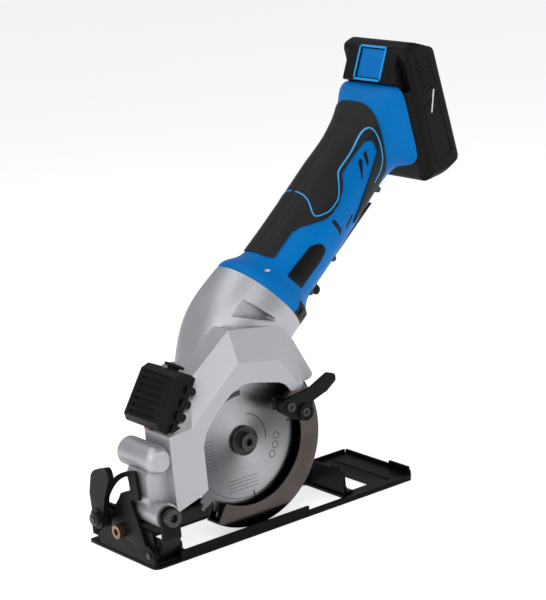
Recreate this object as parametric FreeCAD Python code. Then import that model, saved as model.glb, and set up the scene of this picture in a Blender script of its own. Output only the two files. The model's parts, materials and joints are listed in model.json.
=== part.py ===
import FreeCAD, Part
import math
import os
from FreeCAD import Placement, Rotation, Vector

os.makedirs("parts", exist_ok=True)

# Compact cordless circular saw, in millimetres.  +X points to the battery end, -Y is the blade side,
# +Z is up.  Everything below is laid out from the blade's own plane (y = 0) and the underside of the
# sole (z = 0); save() then moves each piece so that the origin lies on the sole's near rail.
RAIL_MIDDLE = -13.0

# Blade and spindle
ARBOR_HEIGHT = 66.0
BLADE_RADIUS = 57.5
BLADE_BODY_RADIUS = 54.3
BLADE_THICKNESS = 1.2
TOOTH_COUNT = 24
TOOTH_THICKNESS = 1.8
ARBOR_RADIUS = 5.0

# Lower guard, which swings about the spindle
GUARD_RADIUS = 62.2
GUARD_WALL = 1.3
GUARD_NEAR = -7.5
GUARD_FAR = 7.4
NOSE_RADIUS = 13.0
RUNNING_GAP = 0.06

# Upper guard: a near face, a slope and a rim
FACE_Y = -18.0
RIM_Y = -5.0
BACK_Y = 13.0
CAST_WALL = 2.4

# Motor barrel: its axis rises towards the battery and passes above and behind the spindle
BARREL_TILT = 40.0
BARREL_OFFSET = 36.0
BARREL_Y = 32.0
SHELL = 2.4
COLLAR_START = 93.5
GRIP_START = 115.5

# Battery interface: a plane that leans back a little, along which the battery slides up
SLIDE_LEAN = 10.3
SLIDE_FACE = 218.0
SLIDE_LOW = 197.0
SLIDE_HIGH = 256.4
BATTERY_HALF_WIDTH = 36.0

# Gear train: pinion and crown wheel, then a spur pair, all module 1
LAY_OFFSET = BARREL_OFFSET
PINION_TEETH = 8
CROWN_TEETH = 40
LAY_TEETH = 44
ARBOR_TEETH = 28

# Sole and its hinges
SOLE_FRONT = -94.5
SOLE_REAR = 142.0
SOLE_NEAR = -17.0
SOLE_FAR = 70.5
SHEET = 2.0
BEVEL_Y = -9.0
BEVEL_Z = 9.0
BEVEL_SLOT_RADIUS = 52.5
BEVEL_REST_ANGLE = 21.0
BEVEL_RANGE = 45.0
PIVOT_X = -81.0
PIVOT_Z = 37.0
PLUNGE_RANGE = 30.0

TILT = math.radians(BARREL_TILT)
LEAN = math.radians(SLIDE_LEAN)
ALONG_X = Vector(1, 0, 0)
ALONG_Y = Vector(0, 1, 0)
ALONG_Z = Vector(0, 0, 1)


# ---------------------------------------------------------------- helpers

def save(name, shape):
    """Moves a piece into the frame whose origin lies on the near rail, and writes it."""
    placed = shape.copy()
    placed.translate(Vector(0, -RAIL_MIDDLE, 0))
    placed.exportStep("parts/" + name + ".step")


def box(x0, x1, y0, y1, z0, z1):
    return Part.makeBox(x1 - x0, y1 - y0, z1 - z0, Vector(x0, y0, z0))


def rod_y(x, z, radius, y0, y1):
    return Part.makeCylinder(radius, y1 - y0, Vector(x, y0, z), ALONG_Y)


def rod_x(y, z, radius, x0, x1):
    return Part.makeCylinder(radius, x1 - x0, Vector(x0, y, z), ALONG_X)


def tube_y(x, z, outer, inner, y0, y1):
    return rod_y(x, z, outer, y0, y1).cut(rod_y(x, z, inner, y0 - 1, y1 + 1))


def tube_x(y, z, outer, inner, x0, x1):
    return rod_x(y, z, outer, x0, x1).cut(rod_x(y, z, inner, x0 - 1, x1 + 1))


def lay_out(plane, a, b, level):
    return {"xz": Vector(a, level, b), "yz": Vector(level, a, b), "xy": Vector(a, b, level)}[plane]


def outline(points, level, plane="xz", radius=0.0):
    """Closed wire through the points; a corner's third number, or radius, rounds it."""
    corners = []
    for index, point in enumerate(points):
        corner = Vector(point[0], point[1], 0)
        before = Vector(points[index - 1][0], points[index - 1][1], 0)
        after = Vector(points[(index + 1) % len(points)][0], points[(index + 1) % len(points)][1], 0)
        bend = point[2] if len(point) > 2 else radius
        inwards = (before - corner).normalize()
        onwards = (after - corner).normalize()
        half = inwards.getAngle(onwards) / 2
        if bend <= 0 or half > 1.55:
            corners.append((corner, None, corner))
            continue
        reach = bend / math.tan(half)
        middle = corner + (inwards + onwards).normalize() * (bend / math.sin(half) - bend)
        corners.append((corner + inwards * reach, middle, corner + onwards * reach))
    edges = []
    for index, (start, middle, end) in enumerate(corners):
        if middle is not None:
            arc = [lay_out(plane, p.x, p.y, level) for p in (start, middle, end)]
            edges.append(Part.Arc(*arc).toShape())
        following = corners[(index + 1) % len(corners)][0]
        if (following - end).Length > 1e-6:
            line = [lay_out(plane, p.x, p.y, level) for p in (end, following)]
            edges.append(Part.LineSegment(*line).toShape())
    return Part.Wire(edges)


def slab(points, low, high, plane="xz", radius=0.0):
    """Plate of the given outline between two levels along the plane's normal."""
    normal = {"xz": ALONG_Y, "yz": ALONG_X, "xy": ALONG_Z}[plane]
    return Part.Face(outline(points, low, plane, radius)).extrude(normal * (high - low))


def polar(radius, degrees, a=0.0, b=0.0):
    return (a + radius * math.cos(math.radians(degrees)), b + radius * math.sin(math.radians(degrees)))


def wedge(radius, start, stop, a, b, low, high, plane="xz"):
    """Pie slice of a disc, wide enough in steps to cut any ring with."""
    steps = max(2, int((stop - start) / 30) + 1)
    reach = radius / math.cos(math.radians((stop - start) / steps / 2))
    rim = [polar(reach, start + (stop - start) * i / steps, a, b) for i in range(steps + 1)]
    return slab([(a, b)] + rim, low, high, plane)


def superellipse(centre, across, upward, half_width, half_height, power):
    """Closed smooth section: power 2 is an ellipse, larger is squarer."""
    points = []
    for index in range(28):
        angle = 2 * math.pi * index / 28
        c, s = math.cos(angle), math.sin(angle)
        wide = math.copysign(abs(c) ** (2 / power), c) * half_width
        tall = math.copysign(abs(s) ** (2 / power), s) * half_height
        points.append(centre + across * wide + upward * tall)
    curve = Part.BSplineCurve()
    curve.interpolate(points, PeriodicFlag=True)
    return Part.Wire(curve.toShape())


BARREL_ORIGIN = Vector(-math.sin(TILT) * BARREL_OFFSET, BARREL_Y,
                       ARBOR_HEIGHT + math.cos(TILT) * BARREL_OFFSET)
BARREL_FRAME = Placement(BARREL_ORIGIN, Rotation(ALONG_Y, -BARREL_TILT))
LAY_X = -math.sin(TILT) * LAY_OFFSET
LAY_Z = ARBOR_HEIGHT + math.cos(TILT) * LAY_OFFSET


def on_barrel(shape):
    """Moves a piece laid out along the barrel (x along it, y across, z towards its top) into place."""
    placed = shape.copy()
    placed.Placement = BARREL_FRAME.multiply(placed.Placement)
    return placed


SLIDE_FRAME = Placement(Vector(0, BARREL_Y, 0), Rotation(ALONG_Y, -SLIDE_LEAN))


def on_slide(shape):
    """Same for the battery: x out of the handle's end, y across, z up along the slide."""
    placed = shape.copy()
    placed.Placement = SLIDE_FRAME.multiply(placed.Placement)
    return placed


def barrel_section(s, half_width, half_height, power, lift=0.0, turn=0.0):
    """Section of the housing at distance s; turn leans it from the barrel's axis to the slide's."""
    upward = Vector(math.sin(math.radians(turn)), 0, math.cos(math.radians(turn)))
    return superellipse(Vector(s, 0, lift), ALONG_Y, upward, half_width, half_height, power)


def gear(teeth, width, tip, root, thick, phase, keyway=0.0):
    """Spur wheel about +Y at the origin, with tapering teeth; the first points at phase degrees."""
    wheel = rod_y(0, 0, root, 0, width)
    for index in range(teeth):
        tooth = slab([(root - 0.6, -thick * 0.62), (root - 0.6, thick * 0.62),
                      (tip, thick * 0.3), (tip, -thick * 0.3)], 0, width)
        tooth.rotate(Vector(0, 0, 0), ALONG_Y, -(phase + 360.0 * index / teeth))
        wheel = wheel.fuse(tooth)
    return wheel.cut(rod_y(0, 0, keyway, -1, width + 1)).removeSplitter()


# ---------------------------------------------------------------- sole and brackets

def sole_plate():
    plate = slab([(SOLE_FRONT, SOLE_NEAR, 5), (SOLE_REAR - 7, SOLE_NEAR), (SOLE_REAR, SOLE_NEAR + 8),
                  (SOLE_REAR, SOLE_FAR, 2), (SOLE_FRONT, SOLE_FAR, 3)], 0, SHEET, "xy")
    plate = plate.cut(slab([(-60, -9.5), (78, -9.5), (78, 40), (-60, 40)], -1, SHEET + 1, "xy", 4))
    plate = plate.cut(slab([(-88, 17), (-72, 17), (-72, 31), (-80, 31)], -1, SHEET + 1, "xy", 1.5))
    plate = plate.cut(slab([(88, -2), (108, -2), (108, 50), (88, 50)], -1, SHEET + 1, "xy", 3))
    plate = plate.cut(Part.makeCylinder(2.4 + RUNNING_GAP, 10, Vector(-88, 64, -2), ALONG_Z))
    flanges = [
        box(-73, 40, SOLE_NEAR, SOLE_NEAR + 1.8, 0, 8),
        box(40, SOLE_REAR - 7, SOLE_NEAR, SOLE_NEAR + 1.8, 0, 4),
        box(-60, SOLE_REAR - 2, SOLE_FAR - 1.8, SOLE_FAR, 0, 4.5),
        box(SOLE_REAR - 1.8, SOLE_REAR, SOLE_NEAR + 8, SOLE_FAR - 2, 0, 4.5),
        box(SOLE_REAR - 1.8, SOLE_REAR, -8, 15, 0, 7),
    ]
    for flange in flanges:
        plate = plate.fuse(flange)
    bead = Part.makeCylinder(1.6, 66, Vector(123, -4, 1.3), ALONG_Y)
    return plate.fuse(bead).common(box(-200, 200, -100, 100, 0, 20)).removeSplitter()


def quadrant_sector(inner, outer, start, stop, x0, x1):
    ring = tube_x(BEVEL_Y, BEVEL_Z, outer, inner, x0, x1)
    return ring.common(wedge(outer * 1.2, start, stop, BEVEL_Y, BEVEL_Z, x0, x1, "yz"))


def front_bracket():
    """Upright quadrant on the front of the sole, with the curved slot that sets the bevel angle."""
    x0, x1 = SOLE_FRONT + 0.5, SOLE_FRONT + 3.0
    slot_low = BEVEL_REST_ANGLE - 7
    slot_high = BEVEL_REST_ANGLE + BEVEL_RANGE + 7
    plate = quadrant_sector(40, 61, 4, 84, x0, x1)
    plate = plate.fuse(quadrant_sector(3, 41, 4, 66, x0, x1))
    plate = plate.fuse(slab([(-15, SHEET), (57, SHEET), (57, 10), (49, 16), (-9, 16), (-15, 12)], x0, x1, "yz"))
    plate = plate.cut(quadrant_sector(BEVEL_SLOT_RADIUS - 5, BEVEL_SLOT_RADIUS + 5, slot_low, slot_high,
                                      x0 - 1, x1 + 1))
    plate = plate.common(box(-200, 200, -100, 100, SHEET, 100))
    for foot in (box(x1, -64, -15, -3, SHEET, SHEET + 2), box(x1, -72, 42, 60, SHEET, SHEET + 2)):
        plate = plate.fuse(foot)
    plate = plate.fuse(box(-72, -69.5, -15, -3, SHEET, 14.5))
    return plate.cut(rod_x(BEVEL_Y, BEVEL_Z, 2.5, x0 - 1, -60)).removeSplitter()


def rear_bracket():
    """Pressed wall behind the blade opening, with a stepped top edge."""
    wall = slab([(-7, SHEET), (47, SHEET), (47, 20.5), (8, 20.5), (5, 23), (0, 23), (-2, 20), (-7, 19)],
                80, 82.2, "yz", 0)
    return wall.fuse(box(82.2, 88, -7, 47, SHEET, SHEET + 2)).removeSplitter()


def base_rivets():
    places = [(-66.8, -9), (-78, 55), (-86, 55), (85, 1), (85, 40)]
    heads = []
    for x, y in places:
        dome = Part.makeSphere(3.2, Vector(x, y, SHEET + 1.2))
        heads.append(dome.common(box(x - 4, x + 4, y - 4, y + 4, SHEET + 2, SHEET + 8)))
    return Part.makeCompound(heads)


def bevel_pin():
    return rod_x(BEVEL_Y, BEVEL_Z, 2.5, SOLE_FRONT - 0.5, -68.5)


def bevel_stop_screw():
    head = rod_x(24, 20, 5.2, SOLE_FRONT - 4.5, SOLE_FRONT + 0.5)
    return head.cut(hex_socket_x(24, 20, 2.3, SOLE_FRONT - 4.6, SOLE_FRONT - 1.5))


def hex_points(a, b, across, turn=0.0):
    return [polar(across / math.cos(math.pi / 6), turn + 60 * i, a, b) for i in range(6)]


def hex_socket_x(y, z, across, x0, x1):
    return slab(hex_points(y, z, across), x0, x1, "yz")


def hex_socket_y(x, z, across, y0, y1):
    return slab(hex_points(x, z, across, 12), y0, y1, "xz")


def fence_screw():
    """Thumb screw at the far front corner, for a parallel fence."""
    shank = Part.makeCylinder(2.4, SHEET + 4.7, Vector(-88, 64, 0.3), ALONG_Z)
    knob = Part.makeCylinder(5.5, 7, Vector(-88, 64, SHEET + 5), ALONG_Z)
    grooves = [Part.makeCylinder(1.1, 9, Vector(*polar(5.9, 45 * i, -88, 64), SHEET + 4), ALONG_Z)
               for i in range(8)]
    return shank.fuse(knob.cut(Part.makeCompound(grooves)))


# ---------------------------------------------------------------- tilting yoke and its lock

def bolt_place():
    return polar(BEVEL_SLOT_RADIUS, BEVEL_REST_ANGLE, BEVEL_Y, BEVEL_Z)


YOKE_FRONT = SOLE_FRONT + 3.4
YOKE_BACK = YOKE_FRONT + 2.5
EAR_NEAR = FACE_Y - 3.6
EAR_FAR = 28.6


def tilt_yoke():
    """Black stamping that hinges on the bevel pin and carries the plunge pivot between two ears."""
    bolt_y, bolt_z = bolt_place()
    arm = slab([(EAR_NEAR, PIVOT_Z), (EAR_NEAR, 21), (-13, 7), (-6, 7), (-6, 11), (-11.5, 12),
                (EAR_NEAR + 2.4, 22.5), (EAR_NEAR + 2.4, PIVOT_Z)], -88.5, -73.5, "yz")
    ear = rod_y(PIVOT_X, PIVOT_Z, 7.5, EAR_NEAR, EAR_NEAR + 2.4)
    web = slab([(-14, 6), (-4, 5.4), (44, 14), (bolt_y + 8, bolt_z - 3), (bolt_y + 6, bolt_z + 7),
                (bolt_y - 6, bolt_z + 7), (30, 26), (-12, 26)], YOKE_FRONT, YOKE_BACK, "yz", 1.5)
    far_ear = slab([(YOKE_FRONT, 18), (YOKE_FRONT, 26), (PIVOT_X - 5, PIVOT_Z + 7), (PIVOT_X + 6, PIVOT_Z + 6),
                    (PIVOT_X + 8, PIVOT_Z - 2), (-80, 18)], EAR_FAR, EAR_FAR + 2.6)
    knuckle = rod_x(BEVEL_Y, BEVEL_Z, 4.6, YOKE_FRONT, -73.5)
    yoke = arm.fuse([ear, web, far_ear, knuckle])
    yoke = yoke.cut(rod_x(BEVEL_Y, BEVEL_Z, 2.5 + RUNNING_GAP, -100, -60))
    yoke = yoke.cut(rod_y(PIVOT_X, PIVOT_Z, 4.0, EAR_NEAR - 1, EAR_FAR + 5))
    return yoke.cut(rod_x(bolt_y, bolt_z, 3.0, -100, -80)).removeSplitter()


def plunge_bolt():
    shank = rod_y(PIVOT_X, PIVOT_Z, 4.0, EAR_NEAR, EAR_FAR + 2.6)
    head = rod_y(PIVOT_X, PIVOT_Z, 6.4, EAR_NEAR - 5, EAR_NEAR)
    nut = slab(hex_points(PIVOT_X, PIVOT_Z, 5.2), EAR_FAR + 2.6, EAR_FAR + 8)
    return head.fuse([shank, nut]).cut(hex_socket_y(PIVOT_X, PIVOT_Z, 2.6, EAR_NEAR - 6, EAR_NEAR - 2))


def bevel_bolt():
    """Clamp bolt through the slot, with its bush and the nut that keeps the lever on."""
    y, z = bolt_place()
    head = slab(hex_points(y, z, 5.2), YOKE_BACK, YOKE_BACK + 4, "yz")
    bush = rod_x(y, z, 4.7, YOKE_FRONT - 3.1, YOKE_FRONT)
    nut = rod_x(y, z, 4.6, SOLE_FRONT - 12.5, SOLE_FRONT - 9.6)
    return head.fuse([rod_x(y, z, 3.0, -108, YOKE_BACK), bush, nut])


def bevel_lever():
    """Wing lever that clamps the yoke to the quadrant."""
    y, z = bolt_place()
    x0, x1 = SOLE_FRONT - 9.5, SOLE_FRONT - 1.0
    hub = rod_x(y, z, 7.5, x0, x1)
    wing = slab([(y + 6, z - 2), (y + 7, z + 18), (y + 2, z + 33, 3), (y - 3, z + 37, 3),
                 (y - 20, z + 42, 4), (y - 22, z + 34), (y - 13, z + 18), (y - 6, z - 3)],
                x0 + 1, x0 + 5.5, "yz", 2)
    return hub.fuse(wing).cut(rod_x(y, z, 3.0 + RUNNING_GAP, x0 - 1, x1 + 1))


DEPTH_RADIUS = 108.0
DEPTH_ANGLE = 24.0
DEPTH_Y = 60.5


def depth_arc():
    """Slotted arc about the plunge pivot, on the far side, which the depth lever clamps."""
    y0, y1 = DEPTH_Y, DEPTH_Y + 2.5
    low, high = DEPTH_ANGLE - PLUNGE_RANGE - 6, DEPTH_ANGLE + 6
    ring = tube_y(PIVOT_X, PIVOT_Z, DEPTH_RADIUS + 6.5, DEPTH_RADIUS - 7.5, y0, y1)
    ring = ring.common(wedge(DEPTH_RADIUS * 1.3, low - 4, high + 3, PIVOT_X, PIVOT_Z, y0, y1))
    slot = tube_y(PIVOT_X, PIVOT_Z, DEPTH_RADIUS + 3.4, DEPTH_RADIUS - 3.4, y0 - 1, y1 + 1)
    slot = slot.common(wedge(DEPTH_RADIUS * 1.3, low + 3, high - 3, PIVOT_X, PIVOT_Z, y0 - 1, y1 + 1))
    arm = slab([(YOKE_BACK, 15.5), (YOKE_BACK, 24), (-40, 26), (20, 36), (33, 40), (33, 20), (20, 18), (-40, 17)],
               DEPTH_Y, DEPTH_Y + 2.5, "xz")
    cross = slab([(45, 15.5), (DEPTH_Y + 2.5, 15.5), (DEPTH_Y + 2.5, 24), (46, 24)], YOKE_FRONT, YOKE_BACK, "yz")
    return ring.fuse([arm, cross]).cut([slot, tilt_yoke()]).removeSplitter()


def depth_bolt_place():
    return polar(DEPTH_RADIUS, DEPTH_ANGLE, PIVOT_X, PIVOT_Z)


# ---------------------------------------------------------------- upper guard and gear head

FACE_POINTS = [(-72.3, 36.5), (-72.3, 92), (-53, 93), (-9, 129), (26, 122.5), (41, 101), (50, 97), (40, 60)]
RIM_POINTS = [(-72.3, 36.5), (-72.3, 92), (-41, 124), (-6, 150), (38, 143), (49, 129), (63, 101), (52, 60)]
WINDOW_POINTS = [(-45, 20), (-45, 77.5), (-41, 87.5), (-31, 98.5), (-18, 108.5), (-8, 112.5), (0, 112.5),
                 (24, 106.5), (30, 103), (34, 97), (60, 97), (60, 20)]


def guard_solid(inset):
    """Face, slope and rim as one closed body, shrunk all round by inset."""
    def shrink(points):
        middle = Vector(-5, 92, 0)
        result = []
        for x, z in points:
            outwards = Vector(x, z, 0) - middle
            result.append(tuple((middle + outwards * (1 - inset * 1.15 / outwards.Length)))[:2])
        return result
    face = outline(shrink(FACE_POINTS), FACE_Y + inset)
    rim = outline(shrink(RIM_POINTS), RIM_Y + inset * 0.4)
    slope = Part.makeLoft([face, rim], True, True)
    band = slab(shrink(RIM_POINTS), RIM_Y + inset * 0.4, BACK_Y - inset)
    return slope.fuse(band).removeSplitter()


def lower_cut():
    """Everything below the upper guard's open edge."""
    return slab([(-90, -40), (-90, 30), (-72.4, 36.4), (-49, 43.5), (-41, 48.5), (-30, 60), (30, 82),
                 (46, 101), (90, 97), (90, -40)], -60, 60)


def pivot_casting():
    """Post and boss at the front of the upper guard, which ride on the plunge bolt."""
    boss = rod_y(PIVOT_X, PIVOT_Z, 9.0, FACE_Y, 15).fuse(rod_y(PIVOT_X, PIVOT_Z, 6.8, 15, EAR_FAR - 0.6))
    post = slab([(-89.6, 46), (-89.6, 66), (-86, 72), (-71, 76), (-71, 37), (-79, 34), (-88, 41)], -10, 14,
                "xz", 1.5)
    return boss.fuse(post)


def upper_guard():
    shell = guard_solid(0).cut(guard_solid(CAST_WALL))
    shell = shell.cut(slab(WINDOW_POINTS, FACE_Y - 1, GUARD_NEAR - 0.6))
    shell = shell.cut(lower_cut())
    shell = shell.fuse(pivot_casting().cut(guard_solid(CAST_WALL)))
    shell = shell.cut([rod_y(0, ARBOR_HEIGHT, 24, 0, 40), spigot_outline(SPIGOT_RADIUS + 0.1), dust_duct()])
    shell = shell.cut(rod_y(PIVOT_X, PIVOT_Z, 4.0 + RUNNING_GAP, -60, 60))
    return shell.removeSplitter()


SPIGOT_X = -79.6
SPIGOT_Z = 76.0
SPIGOT_RADIUS = 10.4
SPIGOT_BORE = 8.0


def spigot_outline(radius):
    """The dust spigot as a closed body: a tube with a domed near end."""
    dome = Part.makeSphere(radius, Vector(SPIGOT_X, -9, SPIGOT_Z))
    dome = dome.common(box(SPIGOT_X - 12, SPIGOT_X + 12, -16.4, -8.9, SPIGOT_Z - 12, SPIGOT_Z + 12))
    return rod_y(SPIGOT_X, SPIGOT_Z, radius, -9, 24).fuse(dome)


def dust_duct():
    """Passage between the guard's inside and the spigot's bore."""
    return box(SPIGOT_X, -66, -3.5, 10.5, SPIGOT_Z - 6, SPIGOT_Z + 6)


def dust_spigot():
    """Stub at the front that a dust hose plugs into from the far side."""
    bore = rod_y(SPIGOT_X, SPIGOT_Z, SPIGOT_BORE, -4, 30)
    return spigot_outline(SPIGOT_RADIUS).cut([bore, dust_duct()])


def head_sections(shrink):
    """Sections of the gear head along the barrel, from the layshaft up to the collar."""
    rows = [(18, 22, 21, 2.6, 0), (36, 29, 29, 2.6, 1), (52, 33, 34, 2.6, 1.5), (68, 36, 36.5, 2.3, 2),
            (COLLAR_START, 36.8, 36.8, 2.0, 2)]
    return [barrel_section(s, wide - shrink, tall - shrink, power, lift) for s, wide, tall, power, lift in rows]


LAY_DRUM = 25.6
ARBOR_DRUM = 17.5


def gear_housing():
    head = on_barrel(Part.makeLoft(head_sections(0), True, False))
    lay_drum = rod_y(LAY_X, LAY_Z, LAY_DRUM, BACK_Y, 50)
    arbor_drum = rod_y(0, ARBOR_HEIGHT, ARBOR_DRUM, BACK_Y - 2, 46)
    web = slab([polar(24, 130, LAY_X, LAY_Z), polar(24, 220, LAY_X, LAY_Z), polar(15.5, 220, 0, ARBOR_HEIGHT),
                polar(15.5, 20, 0, ARBOR_HEIGHT), (22, 100), (10, 125)], BACK_Y, 46)
    nose = rod_y(0, ARBOR_HEIGHT, NOSE_RADIUS, 5.0, BACK_Y)
    housing = head.fuse([lay_drum, arbor_drum, web]).cut(guard_solid(0)).fuse([nose, arbor_drum])
    housing = housing.cut(rod_y(LAY_X, LAY_Z, LAY_DRUM - 2.0, BACK_Y + 2, 51))
    housing = housing.cut(rod_y(0, ARBOR_HEIGHT, ARBOR_DRUM - 2.1, BACK_Y + 2, 23))
    housing = housing.cut(rod_y(0, ARBOR_HEIGHT, 10.0, 4, 50))
    tunnel = Part.makeCylinder(9, COLLAR_START - 4, Vector(5, 0, 0), ALONG_X)
    bell = Part.makeCylinder(29, 14, Vector(COLLAR_START - 13, 0, 0), ALONG_X)
    housing = housing.cut([on_barrel(tunnel), on_barrel(bell)])
    housing = housing.cut(rod_y(LAY_X, LAY_Z, 5.0, BACK_Y - 1, 52))
    pocket = slab([(-12, 161), (0, 172), (15, 167), (40, 145)], -12, 6, "xz", 1.5)
    housing = housing.cut(pocket)
    bolt_x, bolt_z = depth_bolt_place()
    lug = rod_y(bolt_x, bolt_z, 9, 34, DEPTH_Y - 0.5).cut(rod_y(0, ARBOR_HEIGHT, ARBOR_DRUM - 1, 20, 90))
    housing = housing.cut(rod_y(LAY_X, LAY_Z, LAY_DRUM + 1.3, 50, 90))
    return housing.fuse(lug).cut(rod_y(bolt_x, bolt_z, 3.0, 30, 90)).removeSplitter()


def gear_cover():
    plate = rod_y(LAY_X, LAY_Z, LAY_DRUM + 1, 50, 52.5).fuse(rod_y(LAY_X, LAY_Z, LAY_DRUM - 2.2, 47.2, 50))
    for angle in (20, 110, 200, 290):
        x, z = polar(LAY_DRUM - 1, angle, LAY_X, LAY_Z)
        plate = plate.cut(rod_y(x, z, 1.6, 49, 60))
    return plate.cut(rod_y(LAY_X, LAY_Z, 5.0, 40, 50))


def gear_cover_screws():
    screws = []
    for angle in (20, 110, 200, 290):
        x, z = polar(LAY_DRUM - 1, angle, LAY_X, LAY_Z)
        head = rod_y(x, z, 2.8, 52.5, 54.3).cut(slab(hex_points(x, z, 1.2), 53.2, 55))
        screws.append(head.fuse(rod_y(x, z, 1.5, 50.1, 52.5)))
    return screws


# ---------------------------------------------------------------- blade, spindle and gears

def at_arbor(shape, y):
    shape.translate(Vector(0, y, ARBOR_HEIGHT))
    return shape


def saw_blade():
    return blade_disc().fuse(blade_tips())


def blade_disc():
    half = BLADE_THICKNESS / 2
    disc = rod_y(0, 0, BLADE_BODY_RADIUS, -half, half)
    pitch = 360.0 / TOOTH_COUNT
    for index in range(TOOTH_COUNT):
        gullet = slab([polar(BLADE_BODY_RADIUS - 6.5, 5.0, 0, 0), polar(BLADE_BODY_RADIUS - 4.5, 8.5, 0, 0),
                       polar(BLADE_BODY_RADIUS + 4, 11.5, 0, 0), polar(BLADE_BODY_RADIUS + 4, 1.6, 0, 0)],
                      -2, 2, "xz", 1.4)
        gullet.rotate(Vector(0, 0, 0), ALONG_Y, -index * pitch)
        disc = disc.cut(gullet)
    for index in range(4):
        slot = box(BLADE_BODY_RADIUS - 15, BLADE_BODY_RADIUS - 2, -2, 2, -0.5, 0.5)
        slot.rotate(Vector(0, 0, 0), ALONG_Y, -(index * 90 + 6.5))
        disc = disc.cut(slot)
    return at_arbor(disc.cut(rod_y(0, 0, ARBOR_RADIUS, -2, 2)), 0)


def blade_tips():
    """Carbide tips brazed to the leading face of each tooth."""
    half = TOOTH_THICKNESS / 2
    tips = []
    for index in range(TOOTH_COUNT):
        tip = slab([polar(BLADE_BODY_RADIUS - 1.2, -1.6), polar(BLADE_RADIUS, -0.6), polar(BLADE_RADIUS, 1.6),
                    polar(BLADE_BODY_RADIUS - 1.2, 1.3)], -half, half)
        tip.rotate(Vector(0, 0, 0), ALONG_Y, -index * 360.0 / TOOTH_COUNT)
        tips.append(tip)
    return at_arbor(Part.makeCompound(tips), 0)


def blade_group():
    half = BLADE_THICKNESS / 2
    inner = at_arbor(rod_y(0, 0, 14.0, half, 4.2).cut(rod_y(0, 0, ARBOR_RADIUS, -2, 9)), 0)
    outer = rod_y(0, 0, 10.7, -3.6, -half).cut(rod_y(0, 0, 3.0, -9, 2))
    outer = outer.cut(tube_y(0, 0, 9.6, 7.4, -4.0, -3.0))
    bolt = rod_y(0, 0, 6.5, -8.2, -3.6).fuse(rod_y(0, 0, 3.0, -3.6, 8))
    bolt = bolt.cut(hex_socket_y(0, 0, 2.5, -9, -4.8))
    shaft = rod_y(0, 0, ARBOR_RADIUS, -half, 41).cut(rod_y(0, 0, 3.0, -2, 8))
    wheel = gear(ARBOR_TEETH, 6, ARBOR_TEETH / 2 + 0.7, ARBOR_TEETH / 2 - 1.2, 1.3,
                 MESH_ANGLE + 180.0 / ARBOR_TEETH, ARBOR_RADIUS)
    return {"inner_flange": inner, "outer_flange": at_arbor(outer, 0), "arbor_bolt": at_arbor(bolt, 0),
            "arbor_shaft": at_arbor(shaft, 0), "arbor_gear": at_arbor(wheel, 16)}


MESH_ANGLE = 90.0 + BARREL_TILT


def lay_group():
    """Layshaft, its spur wheel and the crown wheel that the motor pinion drives."""
    shaft = rod_y(0, 0, 3.5, BACK_Y + 2.3, 49)
    spur = gear(LAY_TEETH, 6, LAY_TEETH / 2 + 0.7, LAY_TEETH / 2 - 1.2, 1.3, MESH_ANGLE + 180, 3.5)
    disc = tube_y(0, 0, 21.0, 3.5, 22.6, 26.4)
    pitch = 360.0 / CROWN_TEETH
    for index in range(CROWN_TEETH):
        rib = box(16.5, 20.8, 26.3, 28.4, -0.55, 0.55)
        rib.rotate(Vector(0, 0, 0), ALONG_Y, -(BARREL_TILT + pitch * (index + 0.5)))
        disc = disc.fuse(rib)
    group = {"lay_shaft": shaft, "lay_gear": spur, "crown_gear": disc}
    group["lay_gear"].translate(Vector(0, 16, 0))
    for shape in group.values():
        shape.translate(Vector(LAY_X, 0, LAY_Z))
    return group


MOTOR_CAN = 21.5


def ring_x(s0, s1, outer, inner):
    return tube_x(0, 0, outer, inner, s0, s1)


def armature_group():
    """Motor shaft with its pinion, fan, winding stack and commutator, about the barrel's axis."""
    shaft = rod_x(0, 0, 3.0, 13, 166)
    pinion = gear(PINION_TEETH, 7, PINION_TEETH / 2 + 0.6, PINION_TEETH / 2 - 1.1, 1.18, 0, 3.0)
    pinion.rotate(Vector(0, 0, 0), ALONG_Z, -90)
    pinion.translate(Vector(15.5, 0, 0))
    fan = ring_x(83, 85, 26.0, 3.0).fuse(ring_x(83, 92, 8, 3.0))
    for index in range(9):
        vane = box(84, 91, -0.6, 0.6, 6.5, 25.2)
        vane.rotate(Vector(0, 0, 0), ALONG_X, index * 40)
        fan = fan.fuse(vane)
    stack = ring_x(108, 140, 16.4, 3.0)
    for index in range(10):
        slot = box(107, 141, -1.1, 1.1, 10, 20)
        slot.rotate(Vector(0, 0, 0), ALONG_X, index * 36)
        stack = stack.cut(slot)
    windings = ring_x(103.5, 107.9, 13.5, 3.0).fuse(ring_x(140.1, 144, 13.5, 3.0))
    commutator = ring_x(146, 156, 9, 3.0)
    core = Part.makeCompound([stack, windings, commutator])
    group = {"armature_shaft": shaft.fuse(pinion), "cooling_fan": fan, "armature_core": core}
    return {name: on_barrel(shape) for name, shape in group.items()}


def motor_can():
    can = ring_x(96, 158, MOTOR_CAN, MOTOR_CAN - 1.4)
    return on_barrel(can.fuse(ring_x(96, 98, MOTOR_CAN, 8.1)))


def motor_magnets():
    ring = ring_x(104, 144, MOTOR_CAN - 1.5, 17.2)
    gaps = box(103, 145, -40, 40, -4, 4)
    return on_barrel(ring.cut(gaps))


def brush_holder():
    disc = ring_x(158.2, 166, MOTOR_CAN, 8.1)
    for side in (-1, 1):
        low, high = sorted((side * 10, side * 19))
        disc = disc.fuse(box(147.5, 158.3, low, high, -5, 5))
    return on_barrel(disc)


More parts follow.
